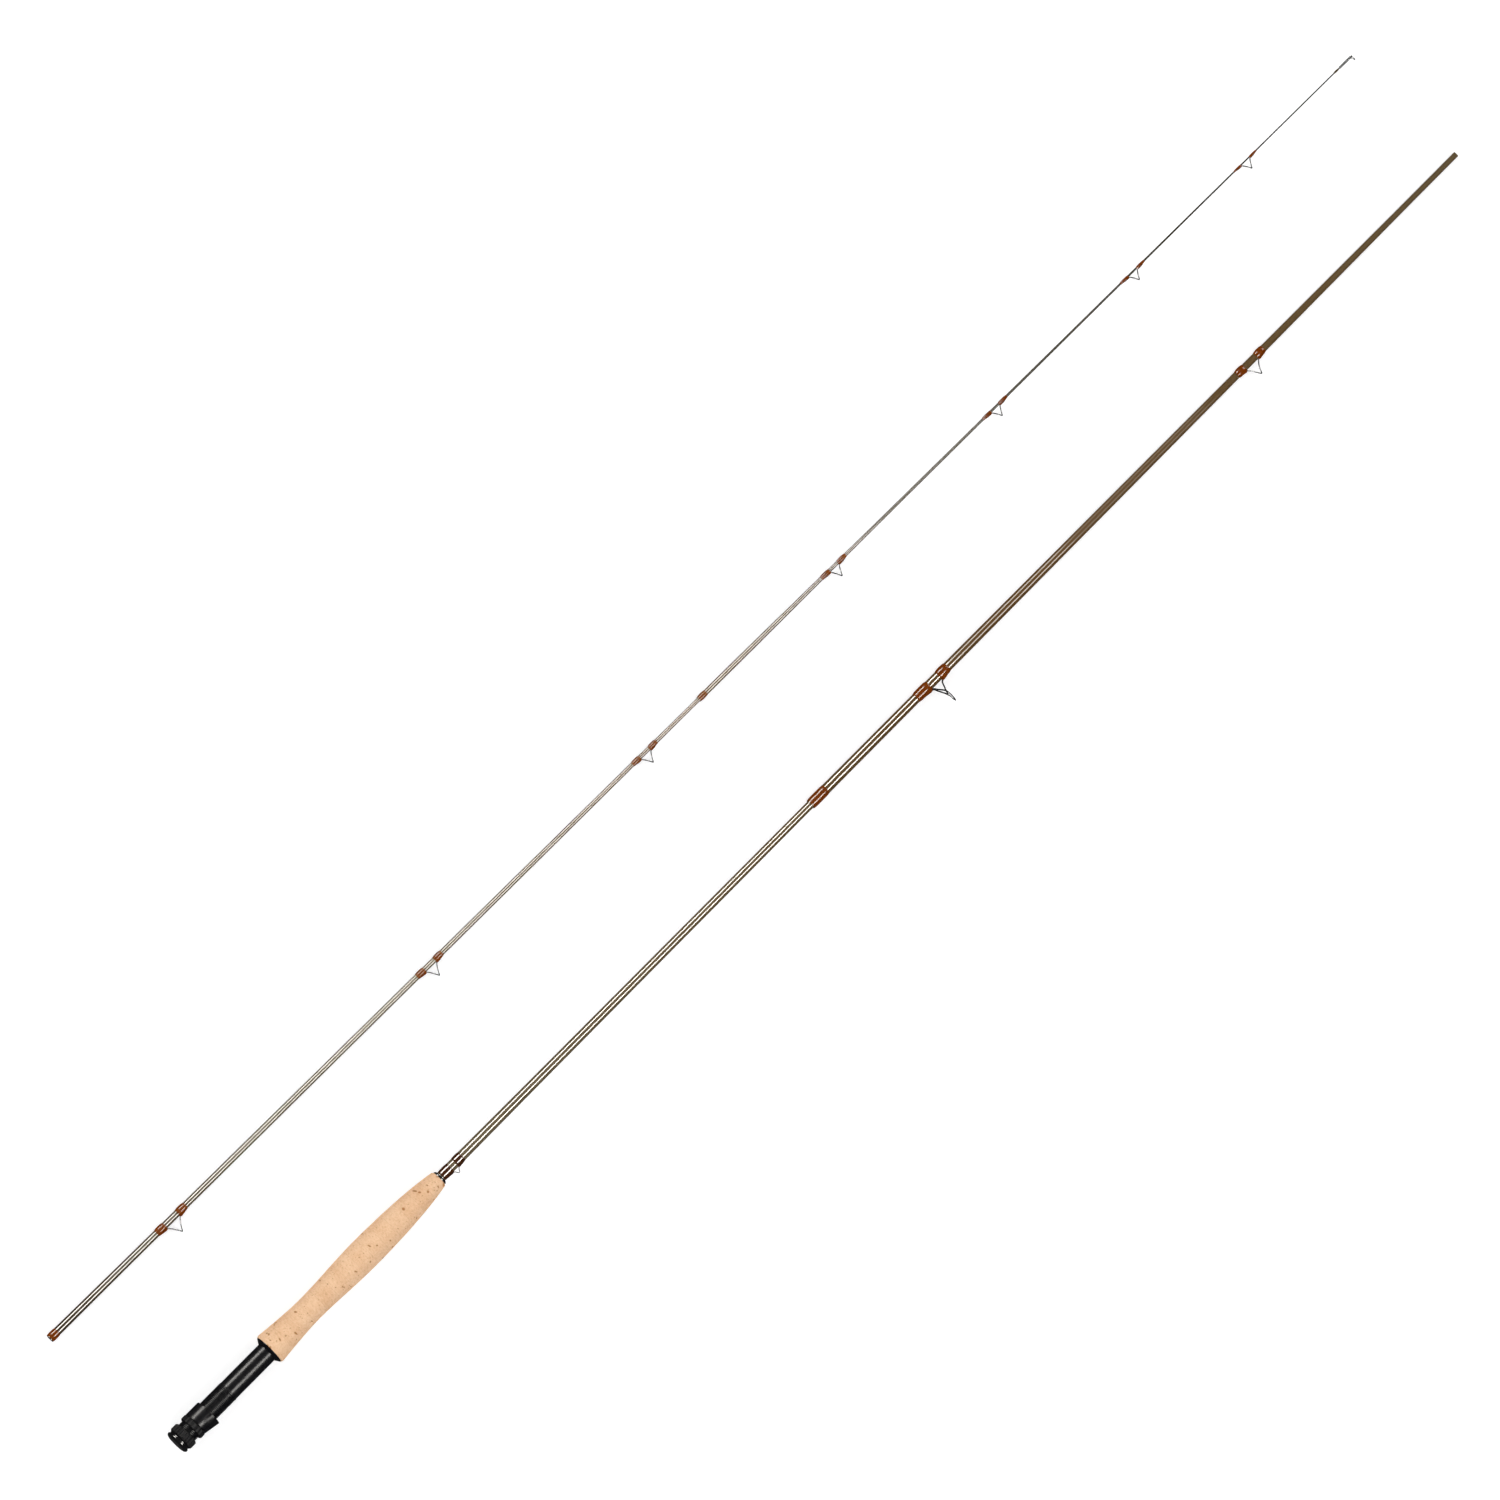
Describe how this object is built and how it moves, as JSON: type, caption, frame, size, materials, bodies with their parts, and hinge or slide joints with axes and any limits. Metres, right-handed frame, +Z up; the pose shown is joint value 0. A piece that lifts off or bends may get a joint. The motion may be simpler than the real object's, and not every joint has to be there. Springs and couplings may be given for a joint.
{
  "type": "four-piece fly fishing rod",
  "caption": "Take-apart fly rod with cork grip, screw-locking reel seat, stripping and snake guides, lying as two joined halves side by side.",
  "frame": {"origin": "centre of the butt cap's end face, on the butt half's axis", "axes": "+X in plan along the butt half, from the butt cap towards its spigot; +Z up from the floor that the rod lies on; the guides of both halves point to -Y, those of the lower mid section rolled 18 degrees up from it, and the tip half lies on the +Y side. The butt half's own axis slopes down from +X by 0.501 degrees, because it rests on the grip's flare and the spigot's end"},
  "size_m": [1.4028, 0.1509, 0.027],
  "materials": {
    "graphite_butt": "clear gloss over olive-brown graphite",
    "graphite_lower_mid": "clear gloss over brown graphite",
    "graphite_upper_mid": "clear gloss over olive-brown graphite",
    "graphite_tip": "satin gloss over dark olive graphite",
    "cork": "sanded matte cork with small pits",
    "black_trim": "gloss",
    "keeper_wire": "polished wire",
    "keeper_thread": "varnished thread",
    "seat_aluminium": "black anodised, semi-gloss",
    "arbor_cork": "matte",
    "ring_knurl": "black anodised, matte",
    "wrap_thread": "rust-brown thread under clear epoxy",
    "tip_thread": "varnished thread",
    "black_frame": "black, semi-gloss",
    "guide_ceramic": "polished black ceramic",
    "snake_wire": "polished wire",
    "tip_top_metal": "polished"
  },
  "bodies": {
    "handle_section": {"butt_blank": "graphite_butt", "cork_grip": "cork", "winding_check": "black_trim", "hook_keeper": "keeper_wire", "hook_keeper_wraps": "keeper_thread", "reel_seat_barrel": "seat_aluminium", "seat_arbors": "arbor_cork", "fixed_hood": "seat_aluminium", "seat_end_cap": "black_trim"},
    "sliding_hood": {"sliding_hood": "seat_aluminium"},
    "front_lock_ring": {"front_lock_ring": "ring_knurl"},
    "rear_lock_ring": {"rear_lock_ring": "ring_knurl"},
    "lower_mid_section": {"lower_mid_blank": "graphite_lower_mid", "lower_mid_ferrule_wrap": "wrap_thread", "stripping_guide_frame": "black_frame", "stripping_guide_ring": "guide_ceramic", "stripping_guide_wraps": "wrap_thread", "snake_guide_1": "snake_wire", "snake_guide_1_wraps": "wrap_thread"},
    "upper_mid_section": {"upper_mid_blank": "graphite_upper_mid", "upper_mid_ferrule_wrap": "wrap_thread", "snake_guide_2": "snake_wire", "snake_guide_2_wraps": "wrap_thread", "snake_guide_3": "snake_wire", "snake_guide_3_wraps": "wrap_thread", "snake_guide_4": "snake_wire", "snake_guide_4_wraps": "wrap_thread"},
    "tip_section": {"tip_blank": "graphite_tip", "tip_ferrule_wrap": "wrap_thread", "snake_guide_5": "snake_wire", "snake_guide_5_wraps": "wrap_thread", "snake_guide_6": "snake_wire", "snake_guide_6_wraps": "wrap_thread", "snake_guide_7": "snake_wire", "snake_guide_7_wraps": "wrap_thread", "snake_guide_8": "snake_wire", "snake_guide_8_wraps": "wrap_thread", "tip_top_tube": "tip_top_metal", "tip_top_ring": "tip_top_metal", "tip_top_wrap": "tip_thread"}
  },
  "joints": [
    {"name": "hood_slide", "type": "slide", "parent": "handle_section", "child": "sliding_hood", "axis": [1, 0, -0.0087], "range_m": [0, 0.0281]},
    {"name": "front_ring_turn", "type": "hinge", "parent": "sliding_hood", "child": "front_lock_ring", "pos_m": [0.0185, 0, -0.00016], "axis": [1, 0, -0.0087], "range_deg": [0, 7753.8]},
    {"name": "rear_ring_turn", "type": "hinge", "parent": "sliding_hood", "child": "rear_lock_ring", "pos_m": [0.0082, 0, -0.00007], "axis": [1, 0, -0.0087], "range_deg": [0, 7753.9]},
    {"name": "lower_ferrule", "type": "slide", "parent": "handle_section", "child": "lower_mid_section", "axis": [1, 0, -0.0087], "range_m": [0, 0.055]},
    {"name": "tip_half_line_up", "type": "slide", "parent": "handle_section", "child": "upper_mid_section", "axis": [0.9966, -0.0822, -0.0019], "range_m": [0, 1.50785]},
    {"name": "upper_ferrule", "type": "slide", "parent": "upper_mid_section", "child": "tip_section", "axis": [0.9999, -0.0106, 0], "range_m": [0, 0.05]}
  ],
  "couplings": [
    {"joint": "hood_slide", "follows": "front_ring_turn", "m_per_rad": 0.0002069},
    {"joint": "rear_ring_turn", "follows": "front_ring_turn", "ratio": 1}
  ]
}
